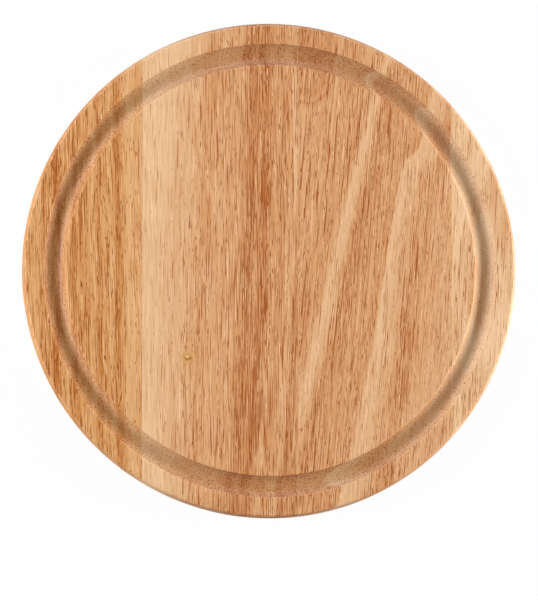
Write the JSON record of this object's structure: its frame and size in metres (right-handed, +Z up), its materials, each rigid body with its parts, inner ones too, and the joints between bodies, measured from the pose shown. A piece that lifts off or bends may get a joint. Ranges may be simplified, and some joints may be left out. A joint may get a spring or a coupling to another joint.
{
  "type": "wooden serving plate",
  "caption": "Round flat serving plate of wooden staves glued edge to edge, with a rounded edge and a juice groove running round inside the rim.",
  "frame": {"origin": "middle of the underside, where the plate rests", "axes": "+Z up out of the serving face, Y along the grain of the staves, X across them"},
  "size_m": [0.25, 0.25, 0.015],
  "materials": {
    "amber_wood": "oiled, matt",
    "straw_wood": "oiled, matt",
    "honey_wood": "oiled, matt",
    "cream_wood": "oiled, matt",
    "cured_glue": "sanded flush"
  },
  "bodies": {
    "root": {"stave_1": "amber_wood", "stave_2": "straw_wood", "stave_3": "honey_wood", "stave_4": "cream_wood", "glue_line_1": "cured_glue", "glue_line_2": "cured_glue", "glue_line_3": "cured_glue"}
  },
  "joints": []
}
